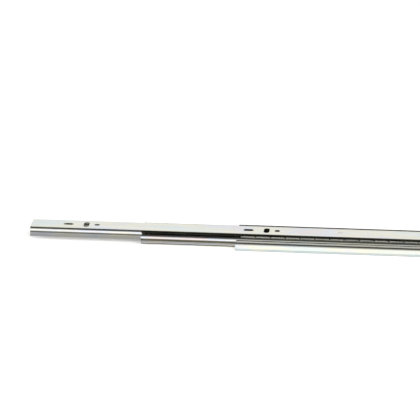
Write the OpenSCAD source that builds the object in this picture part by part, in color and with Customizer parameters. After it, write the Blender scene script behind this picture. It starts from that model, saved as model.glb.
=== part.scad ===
// Full-extension ball-bearing drawer slide, drawn partly out.
// X runs along the slide and the drawer comes out towards -X. Z = 0 is the cabinet
// member's mounting face, and the drawer member's mounting face is section_h above it.
// The origin is midway along the cabinet member, on its centre line.

/* [Slide] */
// Length of the cabinet member, which is the length of the closed slide
slide_length = 450; // [440:10:500]
// Width of the cabinet member over both races
section_w = 45; // [44.5:0.5:46]
// Thickness of the closed slide, from mounting face to mounting face
section_h = 12.7; // [12.6:0.1:13]
// Sheet thickness of the cabinet and drawer members
sheet = 1.2; // [1.1:0.05:1.2]
// Sheet thickness of the middle member
middle_sheet = 1; // [0.9:0.05:1]

/* [Pose] */
// How far the middle member is drawn out of the cabinet member
middle_out = 86; // [0:1:225]
// How far the drawer member is drawn out of the middle member
drawer_out = 97; // [0:1:225]

/* [Bearings] */
// Radius of the balls between the cabinet and middle members
outer_ball_r = 2.55; // [2.4:0.05:2.55]
// Radius of the balls between the middle and drawer members
inner_ball_r = 2; // [1.9:0.05:2]
// Number of balls in each outer row
outer_count = 14; // [10:1:14]
// Number of balls in each inner row
inner_count = 13; // [10:1:13]
// Distance from one outer ball to the next
outer_pitch = 13; // [11:0.5:13]
// Distance from one inner ball to the next
inner_pitch = 13; // [11:0.5:13]

/* [Cabinet member holes] */
// Length of a fixing slot
slot_length = 9; // [7:0.5:10]
// Width of a fixing slot in the cabinet member
cabinet_slot_w = 5; // [4:0.5:5.5]
// Diameter of the large screw hole in each bendable tongue
tongue_hole_d = 6.4; // [5:0.1:6.8]
// Diameter of the small screw hole in each bendable tongue
tongue_pilot_d = 4.5; // [3.5:0.1:4.8]
// Width of a bendable tongue
tongue_w = 18; // [14:1:19]
// Length of a bendable tongue
tongue_l = 24.7; // [22:0.1:25]
// Width of the slit along each side of a tongue
tongue_slit = 2.4; // [1.5:0.1:2.6]
// Width of the notch in the front end of the web
notch_w = 25; // [20:1:26]
// Depth of the notch in the front end of the web
notch_depth = 9.5; // [9.5:0.5:12]

/* [Drawer member holes] */
// Width of a fixing slot in the drawer member
drawer_slot_w = 4.6; // [4:0.1:5]
// Width of the upright adjusting slot
upright_slot_w = 5; // [4:0.5:5.5]
// Height of the upright adjusting slot
upright_slot_l = 11; // [8:1:14]
// Diameter of the round screw hole
drawer_hole_d = 4.7; // [4:0.1:5]
// Distance from one group of holes to the next
group_pitch = 160; // [128:32:160]

/* [Hidden] */
$fn = 48;
step_angle = 6;

// Where each member's front end lies, from the cabinet member's front end
middle_setback = 2;
middle_x = middle_setback - middle_out;
drawer_x = -middle_out - drawer_out;
middle_length = slide_length - 14;
drawer_length = slide_length - 6;

// Each cage travels half as far as the member that it carries
outer_cage_x = 123 - middle_out / 2;
inner_cage_x = 138.7 - middle_out - drawer_out / 2;

// Room between a ball and each of its races
outer_gap = 0.25;
inner_gap = 0.2;

// Radii of the sheets' middle surfaces around the ball centres
cabinet_race_r = outer_ball_r + outer_gap + sheet / 2;
middle_outer_race_r = outer_ball_r + outer_gap + middle_sheet / 2;
middle_inner_race_r = inner_ball_r + inner_gap + middle_sheet / 2;
drawer_race_r = inner_ball_r + inner_gap + sheet / 2;

// Ball centres in the section, as [across, up]
race_slope = 23.6;
outer_ball = [section_w / 2 - sheet / 2 - cabinet_race_r, 5.9];
inner_ball = outer_ball
    + (middle_outer_race_r + middle_inner_race_r) * [-cos(race_slope), sin(race_slope)];

// Heights of the sheets' middle surfaces at their flat webs
cabinet_web_z = sheet / 2;
middle_web_z = 2.15 + middle_sheet / 2;
drawer_web_z = section_h - sheet / 2;

// Ball cages, of thin strip, which reach one pitch past their end balls
outer_cage_t = 0.5;
outer_cage_web_z = 1.65;
outer_cage_top = 8.6;
inner_cage_t = 0.6;
inner_cage_web_z = 3.75;
inner_cage_top = 11.5;
pocket_gap = 0.06;
pocket_slit = 1.6;

// Cabinet member: slots, and tongues with a large hole and a pilot hole or slot
cabinet_slots = [35, 259, 323, slide_length - 31];
tongues = [56.6, 120.6, 280.6, 344.6];
slotted_tongue = 280.6;
tongue_pilot_x = 3.4;
tongue_hole_x = 19.4;
tongue_end_gap = 3.9;

// Rear stop of the cabinet member: a tab bent up from the web, with a rubber cap on it
tab_x = slide_length - 8;
tab_w = 10;
tab_top = 7;
tab_window = 5.5;
cap_front = 3.5;
cap_length = 6.5;
cap_side = 1.5;
cap_top = 0.6;

// Stops that hold the cages in, pressed out of the webs
stop_r = 1.5;
cabinet_stop_x = 7.5;
cabinet_stop_y = 15;
cabinet_stop_h = 0.75;
middle_rear_stop_x = middle_length - 5;
middle_rear_stop_y = 10;
middle_rear_stop_h = 0.65;
middle_front_stop_x = 20.5;
middle_front_stop_y = 7;
middle_front_stop_h = 0.7;

// Catch of the middle member, which the release lever hooks over when fully drawn out
catch_x = 8;
catch_y = [-7.5, -2.5];
catch_top = 9.5;
catch_window = 6.3;
access_slots = [33, 138, 257, middle_length - 19];
access_slot_size = [16, 9];

// Drawer member: first hole of each kind, from its front end
first_slot = 33;
first_upright = 49;
first_hole = 58.4;
groups = 3;

// Rubber bumper under the middle member's front end
bumper_stem_x = 4;
bumper_stem_r = 2.5;
bumper_cap_r = 3.3;
bumper_cap_h = 1.6;
bumper_pad = [6.5, 16, 1.85];
bumper_pad_x = 0.5;

// Release lever, from the drawer member's front end
pivot_x = 274;
lever_reach = 60;
lever_tip_y = [-1, 3];
hook_x = [237.5, 243];
hook_y = -4.5;
lever_z = [8.2, 11.3];
lever_boss_r = 5;
rivet_r = 2;
rivet_head_r = 4.2;
rivet_head_z = [7.1, 8];
rivet_running_gap = 0.05;

// A cut through a web starts below every sheet and ends above them all
cut_h = section_h + 2;

// Puts things that many millimetres behind the cabinet member's front end
module from_front(x) {
    translate([x - slide_length / 2, 0, 0]) children();
}

// Points along an arc, at both ends and about every step_angle degrees between
function arc(centre, r, from, to) =
    let (n = ceil(abs(to - from) / step_angle))
    [for (i = [0:n]) centre + r * dir(from + (to - from) * i / n)];

// Unit vector at an angle
function dir(a) = [cos(a), sin(a)];

function unit(v) = v / norm(v);

// A path without its first point, to join on to one that ends there
function after_first(path) = [for (i = [1:len(path) - 1]) path[i]];

// Sideways vector at point i of a path, long enough to keep an offset parallel
function mitre(path, i) =
    let (
        last = len(path) - 1,
        back = i == 0 ? 0 : i - 1,
        next = i == last ? last - 1 : i,
        before = unit(path[back + 1] - path[back]),
        after = unit(path[next + 1] - path[next]),
        along = unit(before + after)
    )
    [-along.y, along.x] / (along * before);

// Outline of a sheet of thickness t whose middle surface follows the path
function sheet_outline(path, t) =
    let (last = len(path) - 1)
    concat(
        [for (i = [0:last]) path[i] - mitre(path, i) * t / 2],
        [for (i = [last:-1:0]) path[i] + mitre(path, i) * t / 2]
    );

// The right-hand half of a path, with its mirror image before it
function both_sides(half) =
    concat([for (i = [len(half) - 1:-1:0]) [-half[i].x, half[i].y]], half);

// A rolled or folded sheet-metal channel that runs along X from 0
module channel(half, t, length) {
    rotate([90, 0, 90]) linear_extrude(length) polygon(sheet_outline(both_sides(half), t));
}

// Cabinet member: flat web, a bend up at 60 degrees, the race around the outer balls, and a
// straight lip
function cabinet_half() =
    let (
        bend_r = 1.5,
        turn = 60,
        race_end = 50,
        lip = 1.3,
        race_start = outer_ball + cabinet_race_r * dir(turn - 90),
        rise = race_start.y - cabinet_web_z - bend_r * (1 - cos(turn)),
        bend_y = race_start.x - rise / tan(turn) - bend_r * sin(turn)
    )
    concat(
        arc([bend_y, cabinet_web_z + bend_r], bend_r, -90, turn - 90),
        arc(outer_ball, cabinet_race_r, turn - 90, race_end),
        [outer_ball + cabinet_race_r * dir(race_end) + lip * dir(race_end + 90)]
    );

// Middle member: flat web, a bend past upright, around the inside of the outer balls, then
// the other way around the outside of the inner balls, and a straight lip
function middle_half() =
    let (
        turn = 120,
        race_end = 40,
        lip = 0.6,
        race_start = outer_ball + middle_outer_race_r * dir(turn + 90),
        bend_r = (race_start.y - middle_web_z) / (1 - cos(turn)),
        bend_y = race_start.x - bend_r * sin(turn)
    )
    concat(
        arc([bend_y, middle_web_z + bend_r], bend_r, -90, turn - 90),
        after_first(arc(outer_ball, middle_outer_race_r, turn + 90, 180 - race_slope)),
        after_first(arc(inner_ball, middle_inner_race_r, -race_slope, race_end)),
        [inner_ball + middle_inner_race_r * dir(race_end) + lip * dir(race_end + 90)]
    );

// Drawer member: flat web, a steep shoulder, a rounded edge over the inner balls, the race
// around their inside, and a straight leg
function drawer_half() =
    let (
        slope = 88,
        web_bend_r = 1.4,
        edge_r = 1.2,
        race_from = 160,
        race_end = 205,
        leg = 2.9,
        edge = inner_ball + (drawer_race_r + edge_r) * dir(race_from),
        shoulder_foot = edge + edge_r * dir(90 - slope),
        drop = drawer_web_z - web_bend_r * (1 - cos(slope)) - shoulder_foot.y,
        bend_y = shoulder_foot.x - drop / tan(slope) - web_bend_r * sin(slope)
    )
    concat(
        arc([bend_y, drawer_web_z - web_bend_r], web_bend_r, 90, 90 - slope),
        arc(edge, edge_r, 90 - slope, race_from - 180),
        after_first(arc(inner_ball, drawer_race_r, race_from, race_end)),
        [inner_ball + drawer_race_r * dir(race_end) + leg * dir(race_end + 90)]
    );

// Ball cage: flat web and upright sides through the ball centres
function cage_half(y, web_z, top) =
    let (bend_r = 0.9)
    concat(arc([y - bend_r, web_z + bend_r], bend_r, -90, 0), [[y, top]]);

// Upright cutters
module round_cut(x, d) {
    translate([x, 0, -1]) cylinder(d = d, h = cut_h);
}

module slot_cut(x, length, width) {
    half = (length - width) / 2;
    for (side = [-1, 1]) round_cut(x + side * half, width);
    translate([x - half, -width / 2, -1]) cube([2 * half, width, cut_h]);
}

module upright_slot_cut(x, length, width) {
    translate([x, 0, 0]) rotate([0, 0, 90]) slot_cut(0, length, width);
}

// Outline of a strip that starts at x = 0 and has rounded corners at its other end
function tongue_outline(length, width, r) =
    concat(
        [[0, -width / 2]],
        arc([length - r, r - width / 2], r, -90, 0),
        arc([length - r, width / 2 - r], r, 0, 90),
        [[0, width / 2]]
    );

// The U-shaped slit around a tongue that stays joined to the web at its front
module tongue_cut(x) {
    translate([x, 0, -1]) linear_extrude(cut_h) difference() {
        polygon(tongue_outline(tongue_l + tongue_end_gap, tongue_w + 2 * tongue_slit, 3.2));
        polygon(tongue_outline(tongue_l, tongue_w, 2));
    }
    for (side = [-1, 1]) translate([x, side * (tongue_w + tongue_slit) / 2, -1])
        cylinder(d = tongue_slit, h = cut_h);
    round_cut(x + tongue_hole_x, tongue_hole_d);
    if (x == slotted_tongue) slot_cut(x + tongue_pilot_x, slot_length, tongue_pilot_d);
    else round_cut(x + tongue_pilot_x, tongue_pilot_d);
}

// Length of a cage, and the places of the balls along it
function cage_length(count, pitch) = (count + 1) * pitch;

function ball_places(count, pitch) = [for (i = [1:count]) i * pitch];

// A pair of stops pressed out of a web, one each side of the centre line
module stops(x, y, z, height) {
    for (side = [-1, 1]) translate([x, side * y, z]) cylinder(r = stop_r, h = height);
}

// Bearing balls in the pockets of a cage that starts at x = 0
module ball_row(side, centre, r, places) {
    for (x = places) translate([x, side * centre.x, centre.y]) sphere(r = r);
}

// Zinc-plated rolled steel, screwed to the cabinet's side
module cabinet_member() {
    color("gainsboro") from_front(0) difference() {
        union() {
            channel(cabinet_half(), sheet, slide_length);
            stops(cabinet_stop_x, cabinet_stop_y, cabinet_web_z, sheet / 2 + cabinet_stop_h);
            translate([tab_x, -tab_w / 2, cabinet_web_z])
                cube([sheet, tab_w, tab_top - cabinet_web_z]);
        }
        translate([-1, -notch_w / 2, -1]) cube([notch_depth + 1, notch_w, cut_h]);
        for (x = cabinet_slots) slot_cut(x, slot_length, cabinet_slot_w);
        for (x = tongues) tongue_cut(x);
        translate([tab_x - tab_window, -tab_w / 2, -1]) cube([tab_window, tab_w, cut_h]);
    }
}

// Black rubber cap pressed onto the rear stop tab, which the middle member closes against
module rear_bumper() {
    color("black") from_front(0) difference() {
        translate([tab_x - cap_front, -tab_w / 2 - cap_side, sheet])
            cube([cap_length, tab_w + 2 * cap_side, tab_top + cap_top - sheet]);
        translate([tab_x, -tab_w / 2, 0]) cube([sheet, tab_w, tab_top]);
    }
}

// Folded steel strip that spaces the outer balls
module outer_cage() {
    color("darkgray") from_front(outer_cage_x) difference() {
        channel(
            cage_half(outer_ball.x, outer_cage_web_z, outer_cage_top),
            outer_cage_t, cage_length(outer_count, outer_pitch)
        );
        for (x = ball_places(outer_count, outer_pitch))
            translate([x, section_w / 2, outer_ball.y])
                rotate([90, 0, 0]) cylinder(r = outer_ball_r + pocket_gap, h = section_w);
    }
}

module outer_balls(side) {
    color("silver") from_front(outer_cage_x)
        ball_row(side, outer_ball, outer_ball_r, ball_places(outer_count, outer_pitch));
}

module outer_balls_left() {
    outer_balls(1);
}

module outer_balls_right() {
    outer_balls(-1);
}

// Zinc-plated rolled steel, running on balls inside the cabinet member
module middle_member() {
    web_bottom = middle_web_z - middle_sheet / 2;
    web_top = middle_web_z + middle_sheet / 2;
    catch_w = catch_y[1] - catch_y[0];
    color("gainsboro") from_front(middle_x) difference() {
        union() {
            channel(middle_half(), middle_sheet, middle_length);
            stops(
                middle_rear_stop_x, middle_rear_stop_y, web_bottom - middle_rear_stop_h,
                middle_rear_stop_h + middle_sheet / 2
            );
            stops(
                middle_front_stop_x, middle_front_stop_y, middle_web_z,
                middle_sheet / 2 + middle_front_stop_h
            );
            translate([catch_x, catch_y[0], middle_web_z])
                cube([sheet, catch_w, catch_top - middle_web_z]);
        }
        translate([catch_x + sheet, catch_y[0], -1]) cube([catch_window, catch_w, web_top + 2]);
        round_cut(bumper_stem_x, 2 * bumper_stem_r);
        for (x = access_slots) slot_cut(x, access_slot_size[0], access_slot_size[1]);
    }
}

// Rubber bumper: a pad under the middle member's front end, held by a stem and cap
module front_bumper() {
    web_bottom = middle_web_z - middle_sheet / 2;
    web_top = middle_web_z + middle_sheet / 2;
    color("black") from_front(middle_x) union() {
        translate([bumper_pad_x, -bumper_pad.y / 2, web_bottom - bumper_pad.z]) cube(bumper_pad);
        translate([bumper_stem_x, 0, web_bottom - 0.5])
            cylinder(r = bumper_stem_r, h = web_top - web_bottom + 1);
        translate([bumper_stem_x, 0, web_top]) cylinder(r = bumper_cap_r, h = bumper_cap_h);
    }
}

// Folded steel strip that holds the inner balls in keyhole pockets
module inner_cage() {
    color("gray") from_front(inner_cage_x) difference() {
        channel(
            cage_half(inner_ball.x, inner_cage_web_z, inner_cage_top),
            inner_cage_t, cage_length(inner_count, inner_pitch)
        );
        for (x = ball_places(inner_count, inner_pitch)) translate([x, 0, 0]) {
            translate([0, section_w / 2, inner_ball.y])
                rotate([90, 0, 0]) cylinder(r = inner_ball_r + pocket_gap, h = section_w);
            translate([-pocket_slit / 2, -section_w / 2, inner_ball.y])
                cube([pocket_slit, section_w, section_h]);
        }
    }
}

module inner_balls(side) {
    color("silver") from_front(inner_cage_x)
        ball_row(side, inner_ball, inner_ball_r, ball_places(inner_count, inner_pitch));
}

module inner_balls_left() {
    inner_balls(1);
}

module inner_balls_right() {
    inner_balls(-1);
}

// Zinc-plated rolled steel, screwed to the drawer's side
module drawer_member() {
    color("gainsboro") from_front(drawer_x) difference() {
        channel(drawer_half(), sheet, drawer_length);
        for (i = [0:groups - 1]) {
            slot_cut(first_slot + i * group_pitch, slot_length, drawer_slot_w);
            upright_slot_cut(first_upright + i * group_pitch, upright_slot_l, upright_slot_w);
            round_cut(first_hole + i * group_pitch, drawer_hole_d);
        }
        round_cut(pivot_x, 2 * rivet_r);
    }
}

// Black plastic lever under the drawer member's web: an arm with a hook, turning on the rivet
module release_lever() {
    thickness = lever_z[1] - lever_z[0];
    tip_x = pivot_x - lever_reach;
    arm = [
        [tip_x, lever_tip_y[0]], [hook_x[0], lever_tip_y[0]], [hook_x[0], hook_y],
        [hook_x[1], lever_tip_y[0]], [pivot_x - 2, -4.5], [pivot_x - 2, 4.5],
        [hook_x[1], lever_tip_y[1]], [tip_x, lever_tip_y[1]]
    ];
    color("black") from_front(drawer_x) translate([0, 0, lever_z[0]]) difference() {
        union() {
            linear_extrude(thickness) polygon(arm);
            translate([pivot_x, 0, 0]) cylinder(r = lever_boss_r, h = thickness);
            translate([tip_x, (lever_tip_y[0] + lever_tip_y[1]) / 2, 0])
                cylinder(d = lever_tip_y[1] - lever_tip_y[0], h = thickness);
        }
        translate([pivot_x, 0, -1]) cylinder(r = rivet_r + rivet_running_gap, h = thickness + 2);
    }
}

// Steel rivet that the lever turns on, set flush in the drawer member's web
module lever_rivet() {
    color("silver") from_front(drawer_x + pivot_x) union() {
        translate([0, 0, rivet_head_z[0]])
            cylinder(r = rivet_r, h = section_h - 0.1 - rivet_head_z[0]);
        translate([0, 0, rivet_head_z[0]])
            cylinder(r = rivet_head_r, h = rivet_head_z[1] - rivet_head_z[0]);
    }
}

cabinet_member();
rear_bumper();
outer_cage();
outer_balls_left();
outer_balls_right();
middle_member();
front_bumper();
inner_cage();
inner_balls_left();
inner_balls_right();
drawer_member();
release_lever();
lever_rivet();
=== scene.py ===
import math

import bpy
from mathutils import Matrix, Vector


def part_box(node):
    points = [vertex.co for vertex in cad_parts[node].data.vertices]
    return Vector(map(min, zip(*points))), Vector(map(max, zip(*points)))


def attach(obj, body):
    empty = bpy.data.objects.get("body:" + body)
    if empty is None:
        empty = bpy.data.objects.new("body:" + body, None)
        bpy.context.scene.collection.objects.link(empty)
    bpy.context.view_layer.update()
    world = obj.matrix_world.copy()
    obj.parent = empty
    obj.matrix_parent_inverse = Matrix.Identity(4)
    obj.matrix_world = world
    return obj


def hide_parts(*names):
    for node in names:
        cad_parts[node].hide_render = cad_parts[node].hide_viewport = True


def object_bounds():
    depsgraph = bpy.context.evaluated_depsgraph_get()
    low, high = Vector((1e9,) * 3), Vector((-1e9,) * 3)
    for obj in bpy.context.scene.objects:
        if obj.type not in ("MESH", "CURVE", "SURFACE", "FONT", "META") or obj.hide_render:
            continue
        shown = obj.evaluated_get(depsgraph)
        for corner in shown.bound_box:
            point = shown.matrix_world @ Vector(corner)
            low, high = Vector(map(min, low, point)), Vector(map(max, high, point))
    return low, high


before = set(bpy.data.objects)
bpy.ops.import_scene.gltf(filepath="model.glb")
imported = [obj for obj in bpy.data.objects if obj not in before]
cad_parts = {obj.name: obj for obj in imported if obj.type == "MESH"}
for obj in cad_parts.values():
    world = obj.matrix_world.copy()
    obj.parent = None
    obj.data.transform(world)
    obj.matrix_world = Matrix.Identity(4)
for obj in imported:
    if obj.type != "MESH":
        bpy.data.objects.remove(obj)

CAD_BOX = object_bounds()


# The camera: a long lens, low over the drawer member's front, which shows the slide from its
# side with the drawer's end to the left.
CAMERA_AZIMUTH = math.radians(5.43)
CAMERA_ELEVATION = math.radians(20.63)
CAMERA_DISTANCE = 3.0
LENS = 290.8
FRAMING_BEHIND_FRONT = -0.0242
FRAMING_ABOVE = 0.0284


def camera_for(azimuth, elevation, distance):
    cabinet_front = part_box("cabinet_member")[0].x
    back = Vector((
        math.sin(azimuth) * math.cos(elevation),
        -math.cos(azimuth) * math.cos(elevation),
        math.sin(elevation),
    ))
    right = Vector((math.cos(azimuth), math.sin(azimuth), 0))
    up = back.cross(right)
    aim = Vector((cabinet_front + FRAMING_BEHIND_FRONT, 0, 0)) + up * FRAMING_ABOVE
    bpy.ops.object.camera_add(location=aim + back * distance)
    camera = bpy.context.object
    camera.rotation_mode = "QUATERNION"
    camera.rotation_quaternion = (-back).to_track_quat("-Z", "Y")
    camera.data.lens = LENS
    camera.data.clip_end = 60
    return camera


bpy.context.scene.camera = camera_for(CAMERA_AZIMUTH, CAMERA_ELEVATION, CAMERA_DISTANCE)
bpy.context.scene.view_settings.view_transform = "Standard"


# The studio: a white table lit faintly from beneath, a long softbox above, and a room that is
# pale near the table and mostly dark higher up, so that the bent steel shows light and dark
# bands. Beyond the slide's two ends the room is pale all the way up.
MM = 0.001
TABLE_SIZE = 30
TABLE_DROP = 0.02 * MM
TABLE_GLOW = 0.3
SOFTBOX_SIZE = (5.0, 0.9)
SOFTBOX_ELEVATION = math.radians(30)
SOFTBOX_DISTANCE = 2.2
SOFTBOX_WATTS = 94
# Each pair is a height in degrees and the room's brightness there
ROOM_AHEAD = [
    (0, 1.0), (10, 0.95), (25, 0.5), (37, 0.17), (48, 0.05), (72, 0.05), (75, 0.7),
    (81, 0.7), (84, 0.3), (90, 0.4),
]
ROOM_BEHIND = [(0, 0.3), (7, 0.35), (13, 0.98), (36, 1.0), (40, 0.01), (74, 0.01), (78, 0.4)]
ROOM_BEYOND = [(0, 0.85), (30, 0.8), (60, 0.55), (90, 0.35)]
ROOM_BLUE = 0.985
AHEAD_TO_BEHIND = (-0.15, 0.15)
SIDES_TO_ENDS = (0.3, 0.45)


def new_material(name):
    material = bpy.data.materials.new(name)
    material.use_nodes = True
    tree = material.node_tree
    return material, tree, tree.nodes["Principled BSDF"]


def table_material():
    material, tree, surface = new_material("table_white")
    grain = tree.nodes.new("ShaderNodeTexNoise")
    grain.inputs["Scale"].default_value = 9
    shade = tree.nodes.new("ShaderNodeValToRGB")
    shade.color_ramp.elements[0].color = (0.9, 0.9, 0.9, 1)
    shade.color_ramp.elements[1].color = (0.93, 0.93, 0.925, 1)
    tree.links.new(grain.outputs["Fac"], shade.inputs["Fac"])
    tree.links.new(shade.outputs["Color"], surface.inputs["Base Color"])
    tree.links.new(shade.outputs["Color"], surface.inputs["Emission Color"])
    surface.inputs["Emission Strength"].default_value = TABLE_GLOW
    surface.inputs["Roughness"].default_value = 0.9
    surface.inputs["Specular IOR Level"].default_value = 0.1
    return material


def deselect_all():
    if bpy.context.object and bpy.context.object.mode == "EDIT":
        bpy.ops.object.mode_set(mode="OBJECT")
    bpy.ops.object.select_all(action="DESELECT")


def room_light():
    world = bpy.data.worlds.new("studio")
    bpy.context.scene.world = world
    world.use_nodes = True
    tree = world.node_tree
    toward = tree.nodes.new("ShaderNodeTexCoord")
    split = tree.nodes.new("ShaderNodeSeparateXYZ")
    tree.links.new(toward.outputs["Generated"], split.inputs["Vector"])

    def by_height(stops):
        ramp = tree.nodes.new("ShaderNodeValToRGB")
        marks = ramp.color_ramp.elements
        while len(marks) < len(stops):
            marks.new(0.5)
        for mark, (degrees, level) in zip(marks, stops):
            mark.position = math.sin(math.radians(degrees))
            mark.color = (level, level, level * ROOM_BLUE, 1)
        tree.links.new(split.outputs["Z"], ramp.inputs["Fac"])
        return ramp.outputs["Color"]

    def blend(value, span, first, second):
        share = tree.nodes.new("ShaderNodeMapRange")
        share.inputs["From Min"].default_value, share.inputs["From Max"].default_value = span
        mix = tree.nodes.new("ShaderNodeMix")
        mix.data_type = "RGBA"
        tree.links.new(value, share.inputs["Value"])
        tree.links.new(share.outputs["Result"], mix.inputs["Factor"])
        tree.links.new(first, mix.inputs["A"])
        tree.links.new(second, mix.inputs["B"])
        return mix.outputs["Result"]

    across = blend(split.outputs["Y"], AHEAD_TO_BEHIND, by_height(ROOM_AHEAD),
                   by_height(ROOM_BEHIND))
    along = tree.nodes.new("ShaderNodeMath")
    along.operation = "ABSOLUTE"
    tree.links.new(split.outputs["X"], along.inputs[0])
    room = blend(along.outputs["Value"], SIDES_TO_ENDS, across, by_height(ROOM_BEYOND))
    tree.links.new(room, tree.nodes["Background"].inputs["Color"])


deselect_all()
bpy.ops.mesh.primitive_plane_add(size=TABLE_SIZE, location=(0, 0, CAD_BOX[0].z - TABLE_DROP))
table = bpy.context.object
table.name = "table"
table.data.materials.append(table_material())
room_light()

softbox_way = Vector((0, -math.cos(SOFTBOX_ELEVATION), math.sin(SOFTBOX_ELEVATION)))
bpy.ops.object.light_add(type="AREA", location=softbox_way * SOFTBOX_DISTANCE)
softbox = bpy.context.object
softbox.name = "softbox"
softbox.rotation_euler = softbox_way.to_track_quat("Z", "Y").to_euler()
softbox.data.shape = "RECTANGLE"
softbox.data.size, softbox.data.size_y = SOFTBOX_SIZE
softbox.data.energy = SOFTBOX_WATTS
softbox.visible_glossy = False


# The three members: zinc-plated steel strip, rolled to shape and pierced. Each is finished from
# its CAD body: the sheet's cut edges get a fine break, and the bends are shaded smooth.
EDGE_BREAK = 0.22 * MM
JOIN_DISTANCE = 0.0005 * MM
FLAT_WITHIN = math.radians(0.5)
SHARP_BEYOND = math.radians(50)
SMOOTH_WITHIN = math.radians(35)
# A bend darkened by grease and painted shade: how far across and up its middle is, and how far
# the darkening reaches from it
OUTER_RACE = (18.5 * MM, 5.9 * MM, 2.95 * MM)
INNER_RACE = (13.0 * MM, 8.3 * MM, 2.3 * MM)
LOWER_BEND = (15.9 * MM, 2.9 * MM, 0.9 * MM)
SHADE_AND_GREASE_FADE = 0.12 * MM
SHADE_AND_GREASE_FACING = (0.32, 0.18)
STAIN_SCALE = 55
STREAK_SCALE = 2600
STREAK_SHARE = 0.16
CLOUD_SCALE = 160


def mapped_noise(tree, stretch, scale, detail=3.0):
    """Noise in the piece's own coordinates, drawn out by the stretch along X, Y and Z."""
    place = tree.nodes.new("ShaderNodeTexCoord")
    mapping = tree.nodes.new("ShaderNodeMapping")
    mapping.inputs["Scale"].default_value = stretch
    noise = tree.nodes.new("ShaderNodeTexNoise")
    noise.inputs["Scale"].default_value = scale
    noise.inputs["Detail"].default_value = detail
    tree.links.new(place.outputs["Object"], mapping.inputs["Vector"])
    tree.links.new(mapping.outputs["Vector"], noise.inputs["Vector"])
    return noise.outputs["Fac"]


def ramp_of(tree, value, stops):
    ramp = tree.nodes.new("ShaderNodeValToRGB")
    marks = ramp.color_ramp.elements
    while len(marks) < len(stops):
        marks.new(0.5)
    for mark, (position, colour) in zip(marks, stops):
        mark.position = position
        mark.color = (*colour, 1)
    tree.links.new(value, ramp.inputs["Fac"])
    return ramp.outputs["Color"]


def range_of(tree, value, low, high):
    spread = tree.nodes.new("ShaderNodeMapRange")
    spread.inputs["To Min"].default_value = low
    spread.inputs["To Max"].default_value = high
    tree.links.new(value, spread.inputs["Value"])
    return spread.outputs["Result"]


def bump_of(tree, surface, height, strength, distance):
    bump = tree.nodes.new("ShaderNodeBump")
    bump.inputs["Strength"].default_value = strength
    bump.inputs["Distance"].default_value = distance
    tree.links.new(height, bump.inputs["Height"])
    tree.links.new(bump.outputs["Normal"], surface.inputs["Normal"])


def mixed(tree, factor, first, second):
    mix = tree.nodes.new("ShaderNodeMix")
    mix.data_type = "RGBA"
    for socket, source in (("Factor", factor), ("A", first), ("B", second)):
        if isinstance(source, bpy.types.NodeSocket):
            tree.links.new(source, mix.inputs[socket])
        else:
            mix.inputs[socket].default_value = source
    return mix.outputs["Result"]


def worked(tree, operation, first, second=None):
    """The result of one sum, each term of which is a socket or a number."""
    node = tree.nodes.new("ShaderNodeMath")
    node.operation = operation
    for slot, term in enumerate((first, second)):
        if isinstance(term, bpy.types.NodeSocket):
            tree.links.new(term, node.inputs[slot])
        elif term is not None:
            node.inputs[slot].default_value = term
    return node.outputs["Value"]


def faded(tree, value, none_at, full_at):
    """0 where the value is at its first limit, and 1 where it is at its second."""
    fade = tree.nodes.new("ShaderNodeMapRange")
    fade.inputs["From Min"].default_value = none_at
    fade.inputs["From Max"].default_value = full_at
    tree.links.new(value, fade.inputs["Value"])
    return fade.outputs["Result"]


def grease_and_shade_near_race(tree, race):
    """1 near a bend, except on faces that look mostly upwards: where grease gathers, and where
    painted shade darkens the race's hollow and underside.
    """
    across, up, reach = race
    place = tree.nodes.new("ShaderNodeTexCoord")
    split = tree.nodes.new("ShaderNodeSeparateXYZ")
    tree.links.new(place.outputs["Object"], split.inputs["Vector"])
    section = tree.nodes.new("ShaderNodeCombineXYZ")
    tree.links.new(worked(tree, "ABSOLUTE", split.outputs["Y"]), section.inputs["Y"])
    tree.links.new(split.outputs["Z"], section.inputs["Z"])
    gap = tree.nodes.new("ShaderNodeVectorMath")
    gap.operation = "DISTANCE"
    gap.inputs[1].default_value = (0, across, up)
    tree.links.new(section.outputs["Vector"], gap.inputs[0])
    close = faded(tree, gap.outputs["Value"], reach + SHADE_AND_GREASE_FADE, reach - SHADE_AND_GREASE_FADE)
    facing = tree.nodes.new("ShaderNodeSeparateXYZ")
    tree.links.new(place.outputs["Normal"], facing.inputs["Vector"])
    shaded_side = faded(tree, facing.outputs["Z"], *SHADE_AND_GREASE_FACING)
    return worked(tree, "MULTIPLY", close, shaded_side)


def in_box(tree, low, high):
    """1 inside the box between two corners in the piece's own coordinates, 0 outside it."""
    place = tree.nodes.new("ShaderNodeTexCoord")
    offset = tree.nodes.new("ShaderNodeVectorMath")
    offset.operation = "SUBTRACT"
    offset.inputs[1].default_value = [(a + b) / 2 for a, b in zip(low, high)]
    reach = tree.nodes.new("ShaderNodeVectorMath")
    reach.operation = "ABSOLUTE"
    tree.links.new(place.outputs["Object"], offset.inputs[0])
    tree.links.new(offset.outputs["Vector"], reach.inputs[0])
    split = tree.nodes.new("ShaderNodeSeparateXYZ")
    tree.links.new(reach.outputs["Vector"], split.inputs["Vector"])
    inside = 1.0
    for axis, a, b in zip("XYZ", low, high):
        within = worked(tree, "LESS_THAN", split.outputs[axis], (b - a) / 2)
        inside = worked(tree, "MULTIPLY", inside, within)
    return inside


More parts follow.
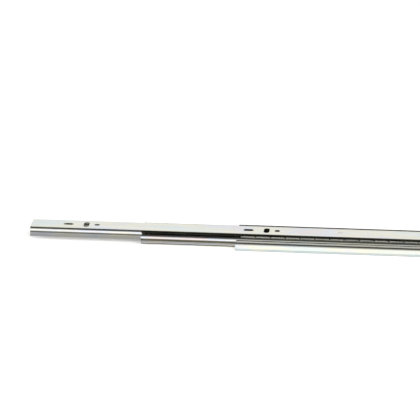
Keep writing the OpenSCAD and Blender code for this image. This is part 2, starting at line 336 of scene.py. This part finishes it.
def zinc_plate(name, races, shade_boxes=()):
    """Bright zinc over rolled steel, with long faint cream, pink and blue-green stains, a dark
    film near the races that is part grease and part painted shade, and painted shade in the boxes
    that are given."""
    material, tree, surface = new_material(name)
    stain = mapped_noise(tree, (0.3, 1.0, 1.0), STAIN_SCALE)
    plated = ramp_of(tree, stain, [
        (0.30, (0.66, 0.75, 0.78)),
        (0.40, (0.74, 0.78, 0.73)),
        (0.48, (0.80, 0.78, 0.64)),
        (0.55, (0.76, 0.75, 0.73)),
        (0.62, (0.67, 0.73, 0.84)),
        (0.70, (0.80, 0.68, 0.67)),
    ])
    streaks = mapped_noise(tree, (0.01, 1.0, 1.0), STREAK_SCALE, detail=2)
    streaked = mixed(tree, STREAK_SHARE, plated, ramp_of(tree, streaks, [
        (0.3, (0.62, 0.63, 0.60)),
        (0.7, (0.95, 0.95, 0.93)),
    ]))
    geometry = tree.nodes.new("ShaderNodeNewGeometry")
    worn = ramp_of(tree, geometry.outputs["Pointiness"], [
        (0.52, (0, 0, 0)),
        (0.60, (0.35, 0.35, 0.35)),
    ])
    dry = mixed(tree, worn, streaked, (0.9, 0.9, 0.88, 1))
    cloud = mapped_noise(tree, (0.4, 1.0, 1.0), CLOUD_SCALE)
    rough = range_of(tree, cloud, 0.10, 0.22)
    colour = dry
    if races:
        # Painted shade: the plating is darkened near the races, mostly on their hollow and
        # downward faces, together with their grease.
        film = grease_and_shade_near_race(tree, races[0])
        for race in races[1:]:
            film = worked(tree, "MAXIMUM", film, grease_and_shade_near_race(tree, race))
        grease_and_shade_tone = ramp_of(tree, cloud, [(0.35, (0.07, 0.07, 0.05)), (0.7, (0.14, 0.13, 0.09))])
        colour = mixed(tree, film, dry, grease_and_shade_tone)
    # Painted shade: the plating is darkened inside each of the given boxes.
    for low, high, darkest, palest in shade_boxes:
        painted_shade = ramp_of(tree, cloud, [(0.35, darkest), (0.7, palest)])
        colour = mixed(tree, in_box(tree, low, high), colour, painted_shade)
    tree.links.new(colour, surface.inputs["Base Color"])
    tree.links.new(rough, surface.inputs["Roughness"])
    surface.inputs["Metallic"].default_value = 1.0
    surface.inputs["Anisotropic"].default_value = 0.3
    bump_of(tree, surface, streaks, 0.05, 0.02 * MM)
    return material


def finished_copy(node, body, material, edge_break, slot):
    """A copy of a CAD node with its triangles joined, its edges broken and its bends smooth."""
    deselect_all()
    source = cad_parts[node]
    source.select_set(True)
    bpy.context.view_layer.objects.active = source
    bpy.ops.object.duplicate()
    piece = bpy.context.object
    piece.name = node + "_plated" if slot == "zinc_steel" else node + "_finished"
    piece.parent = None
    piece.matrix_world = Matrix.Identity(4)
    for key in list(piece.keys()):
        del piece[key]
    bpy.ops.object.mode_set(mode="EDIT")
    bpy.ops.mesh.select_all(action="SELECT")
    bpy.ops.mesh.remove_doubles(threshold=JOIN_DISTANCE)
    bpy.ops.mesh.dissolve_limited(angle_limit=FLAT_WITHIN)
    bpy.ops.object.mode_set(mode="OBJECT")
    if edge_break:
        bevel = piece.modifiers.new("edge_break", "BEVEL")
        bevel.width = edge_break
        bevel.segments = 2
        bevel.limit_method = "ANGLE"
        bevel.angle_limit = SHARP_BEYOND
        bevel.use_clamp_overlap = True
        bpy.ops.object.modifier_apply(modifier="edge_break")
    bpy.ops.object.shade_smooth_by_angle(angle=SMOOTH_WITHIN)
    even = piece.modifiers.new("even_normals", "WEIGHTED_NORMAL")
    even.keep_sharp = True
    bpy.ops.object.modifier_apply(modifier="even_normals")
    piece.data.materials.clear()
    piece.data.materials.append(material)
    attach(piece, body)
    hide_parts(node)
    return piece


def shade_band(start, y_range, z_range, darkest, palest):
    """A band of painted shade from `start` to the rear end, between two widths and two heights in
    mm.
    """
    low = (start, y_range[0] * MM, z_range[0] * MM)
    high = (CAD_BOX[1].x + 1, y_range[1] * MM, z_range[1] * MM)
    return low, high, darkest, palest


# Painted shade near the table: the cabinet member's lower sides are darkened, its foot more so,
# and its far lip is painted dark. The drawer member is painted darker inside its web, and painted
# dark at its shoulder where it runs in the middle member.
BELOW, ABOVE, WIDE = -1, 20, 30
FOOT = 0.7
LOWER_SIDE = 3.2
SIDE_STARTS = 19.0
FAR_LIP = 15.5
front_end = CAD_BOX[0].x - MM
middle_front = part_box("middle_member")[0].x
shaded_zinc = (0.50, 0.57, 0.58), (0.62, 0.61, 0.53)
cabinet_painted_shade = [
    shade_band(front_end, (-WIDE, -SIDE_STARTS), (BELOW, LOWER_SIDE), *shaded_zinc),
    shade_band(front_end, (SIDE_STARTS, WIDE), (BELOW, LOWER_SIDE), *shaded_zinc),
    shade_band(front_end, (-WIDE, -SIDE_STARTS), (BELOW, FOOT), (0.34, 0.37, 0.40), (0.42, 0.43, 0.42)),
    # Painted shade on the far lip, on the far side only.
    shade_band(front_end, (FAR_LIP, WIDE), (7.0, ABOVE), (0.05, 0.05, 0.04), (0.10, 0.10, 0.08)),
]
drawer_painted_shade = [
    # Painted shade inside the drawer member's web and hole walls, and darker still at its
    # shoulder within the middle member.
    shade_band(front_end, (-10.35, 10.35), (BELOW, 12.6), (0.20, 0.20, 0.18), (0.32, 0.31, 0.27)),
    shade_band(middle_front, (-WIDE, WIDE), (10.6, 12.3), (0.03, 0.03, 0.025), (0.07, 0.07, 0.05)),
]
for member, body, races, shade_boxes in (
    ("cabinet_member", "cabinet", [OUTER_RACE], cabinet_painted_shade),
    ("middle_member", "middle", [OUTER_RACE, INNER_RACE, LOWER_BEND], []),
    ("drawer_member", "drawer", [INNER_RACE], drawer_painted_shade),
):
    zinc = zinc_plate(f"zinc_{body}", races, shade_boxes)
    finished_copy(member, body, zinc, EDGE_BREAK, "zinc_steel")


# The two ball cages: thin grey steel strip, folded and pierced, with a film of old grease.
def greased_strip():
    material, tree, surface = new_material("greased_strip")
    film = mapped_noise(tree, (0.3, 1.0, 1.0), 240)
    tone = ramp_of(tree, film, [
        (0.35, (0.62, 0.63, 0.58)),
        (0.55, (0.80, 0.80, 0.73)),
        (0.75, (0.68, 0.64, 0.52)),
    ])
    tree.links.new(tone, surface.inputs["Base Color"])
    surface.inputs["Metallic"].default_value = 1.0
    tree.links.new(range_of(tree, film, 0.4, 0.6), surface.inputs["Roughness"])
    bump_of(tree, surface, mapped_noise(tree, (0.05, 1, 1), 1800), 0.08, 0.02 * MM)
    return material


strip = greased_strip()
for cage, body in (("outer_cage", "outer_bearing"), ("inner_cage", "inner_bearing")):
    finished_copy(cage, body, strip, 0, "cage_steel")


# The bearing balls: hardened steel, polished, with a little grease on them.
def ball_steel():
    material, tree, surface = new_material("ball_steel")
    smear = mapped_noise(tree, (1, 1, 1), 900)
    tone = ramp_of(tree, smear, [(0.4, (0.74, 0.74, 0.74)), (0.7, (0.62, 0.61, 0.57))])
    tree.links.new(tone, surface.inputs["Base Color"])
    surface.inputs["Metallic"].default_value = 1.0
    tree.links.new(range_of(tree, smear, 0.04, 0.2), surface.inputs["Roughness"])
    bump_of(tree, surface, smear, 0.03, 0.01 * MM)
    return material


polished = ball_steel()
for race, body in (("outer_balls", "outer_bearing"), ("inner_balls", "inner_bearing")):
    for side in ("left", "right"):
        finished_copy(f"{race}_{side}", body, polished, 0, "ball_steel")


# The rubber bumpers: one pressed over the cabinet member's rear tab, and one held in the
# middle member's front end by its stem and cap.
def bumper_rubber():
    material, tree, surface = new_material("bumper_rubber")
    dust = mapped_noise(tree, (1, 1, 1), 420)
    tone = ramp_of(tree, dust, [
        (0.4, (0.018, 0.018, 0.019)),
        (0.75, (0.05, 0.049, 0.046)),
    ])
    tree.links.new(tone, surface.inputs["Base Color"])
    tree.links.new(range_of(tree, dust, 0.55, 0.8), surface.inputs["Roughness"])
    bump_of(tree, surface, mapped_noise(tree, (1, 1, 1), 5200), 0.15, 0.03 * MM)
    return material


rubber = bumper_rubber()
finished_copy("rear_bumper", "cabinet", rubber, 0.45 * MM, "rubber")
finished_copy("front_bumper", "middle", rubber, 0.3 * MM, "rubber")


# The release lever: moulded black plastic, turning on its rivet inside the drawer member.
def lever_plastic():
    material, tree, surface = new_material("lever_plastic")
    flow = mapped_noise(tree, (0.5, 1, 1), 300)
    tone = ramp_of(tree, flow, [(0.4, (0.016, 0.016, 0.018)), (0.7, (0.035, 0.035, 0.037))])
    tree.links.new(tone, surface.inputs["Base Color"])
    tree.links.new(range_of(tree, flow, 0.35, 0.5), surface.inputs["Roughness"])
    bump_of(tree, surface, mapped_noise(tree, (1, 1, 1), 7000), 0.2, 0.02 * MM)
    return material


finished_copy("release_lever", "lever", lever_plastic(), 0.35 * MM, "lever_plastic")
finished_copy("lever_rivet", "drawer", zinc_plate("zinc_rivet", []), 0.2 * MM, "rivet_steel")
